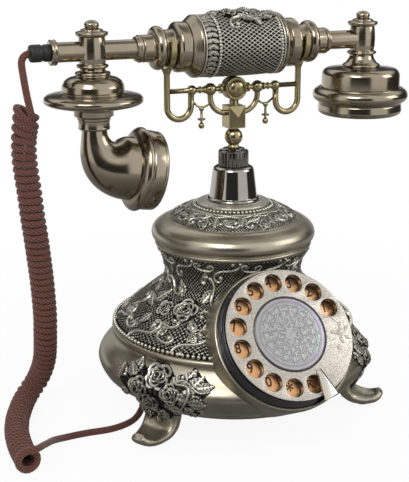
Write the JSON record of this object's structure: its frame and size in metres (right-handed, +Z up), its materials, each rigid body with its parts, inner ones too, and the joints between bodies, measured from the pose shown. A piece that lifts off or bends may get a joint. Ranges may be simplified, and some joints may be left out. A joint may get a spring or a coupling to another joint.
{
  "type": "rotary telephone",
  "caption": "Antique-style rotary telephone: round ornate base on curled feet, tilted dial, column with spring cradle, and horizontal handset on a coiled braided cord.",
  "frame": {"origin": "on the table, under the column's axis", "axes": "+Z up, +X from mouthpiece to earpiece, -Y towards the dial and the user"},
  "size_m": [0.3234, 0.2405, 0.2916],
  "materials": {
    "champagne_cast": "satin, aged silver-champagne paint over casting",
    "patina_silver": "satin, raised ornament rubbed bright over dark patina",
    "antique_pewter": "polished, bronzed pewter plating",
    "gold_brass": "polished, lacquered",
    "dark_chrome": "mirror polished",
    "bright_silver": "satin",
    "satin_cream_metal": "fine speckled satin",
    "copper": "brushed",
    "black_gloss": "gloss",
    "black_plastic": "matte",
    "black_steel": "matte",
    "steel": "brushed",
    "rubber": "matte",
    "braided_cord": "tight woven braid",
    "board": "solder mask",
    "winding": "varnished wire"
  },
  "bodies": {
    "base": {"lower_casing": "champagne_cast", "skirt_casing": "patina_silver", "lid": "patina_silver", "column_flange": "champagne_cast", "column_cone": "dark_chrome", "knurled_nut": "dark_chrome", "feet": "champagne_cast", "rose_clusters": "patina_silver", "foot_pads": "rubber", "base_plate": "black_steel", "plate_screws": "steel", "dial_housing": "bright_silver", "dial_bezel": "black_gloss", "number_plate": "copper", "finger_stop": "bright_silver", "dial_frame": "steel", "return_spring": "steel", "circuit_board": "board", "bell_gongs": "gold_brass", "ringer_coil": "winding", "line_jack": "black_gloss", "cord_inlet": "black_gloss", "hook_switch": "black_plastic", "hook_spring": "steel", "cord_coil": "braided_cord", "cord_lead_bottom": "braided_cord"},
    "dial_wheel": {"finger_wheel": "satin_cream_metal", "hub_ring": "black_gloss", "hub_disc": "satin_cream_metal", "wheel_shaft": "steel", "drive_gear": "gold_brass"},
    "governor": {"governor": "gold_brass"},
    "pulse_cam": {"pulse_cam": "gold_brass"},
    "clapper": {"clapper": "steel"},
    "hook_lever": {"hook_lever": "steel"},
    "cradle": {"cradle_stem": "steel", "cradle_post": "gold_brass", "cradle_block": "gold_brass", "centre_boss": "gold_brass", "cradle_bar": "gold_brass", "hanger_loops": "gold_brass", "cradle_forks": "gold_brass", "cradle_arms": "gold_brass"},
    "handset": {"grip_sleeve": "patina_silver", "grip_relief": "patina_silver", "end_caps": "patina_silver", "neck_cones": "gold_brass", "handset_tubes": "antique_pewter", "tee_barrels": "antique_pewter", "finials": "antique_pewter", "mouth_dome": "antique_pewter", "mouth_elbow": "antique_pewter", "mouth_cap": "antique_pewter", "ear_cup": "antique_pewter", "ear_cap": "antique_pewter", "capsules": "black_plastic", "cord_collar": "gold_brass", "strain_relief": "rubber", "cord_lead_top": "braided_cord"}
  },
  "joints": [
    {"name": "dial_turn", "type": "hinge", "parent": "base", "child": "dial_wheel", "pos_m": [0, -0.0912, 0.0825], "axis": [0, 0.7986, -0.6018], "range_deg": [0, 330], "stiffness_Nm_per_rad": 0.004, "springref_deg": -17.19},
    {"name": "governor_spin", "type": "hinge", "parent": "base", "child": "governor", "pos_m": [-0.025, -0.08002, 0.07408], "axis": [0, 0.7986, -0.6018], "range_deg": [-1330, 10]},
    {"name": "pulse_cam_turn", "type": "hinge", "parent": "base", "child": "pulse_cam", "pos_m": [0.03, -0.08002, 0.07408], "axis": [0, 0.7986, -0.6018], "range_deg": [-665, 5]},
    {"name": "handset_lift", "type": "slide", "parent": "base", "child": "handset", "axis": [0, 0, 1], "range_m": [0, 0.08]},
    {"name": "cradle_travel", "type": "slide", "parent": "base", "child": "cradle", "axis": [0, 0, 1], "range_m": [0, 0.0051], "deforming": ["hook_spring"]},
    {"name": "hook_lever_turn", "type": "hinge", "parent": "base", "child": "hook_lever", "pos_m": [0.022, 0, 0.101], "axis": [0, 1, 0], "range_deg": [0, 14.6]},
    {"name": "clapper_swing", "type": "hinge", "parent": "base", "child": "clapper", "pos_m": [0, 0.016, 0.05], "axis": [0, 0, 1], "range_deg": [-2.2, 2.2]}
  ],
  "couplings": [
    {"joint": "governor_spin", "follows": "dial_turn", "ratio": -4},
    {"joint": "pulse_cam_turn", "follows": "dial_turn", "ratio": -2},
    {"joint": "cradle_travel", "follows": "handset_lift", "ratio": 0.0625},
    {"joint": "hook_lever_turn", "follows": "handset_lift", "rad_per_m": 3.12}
  ]
}
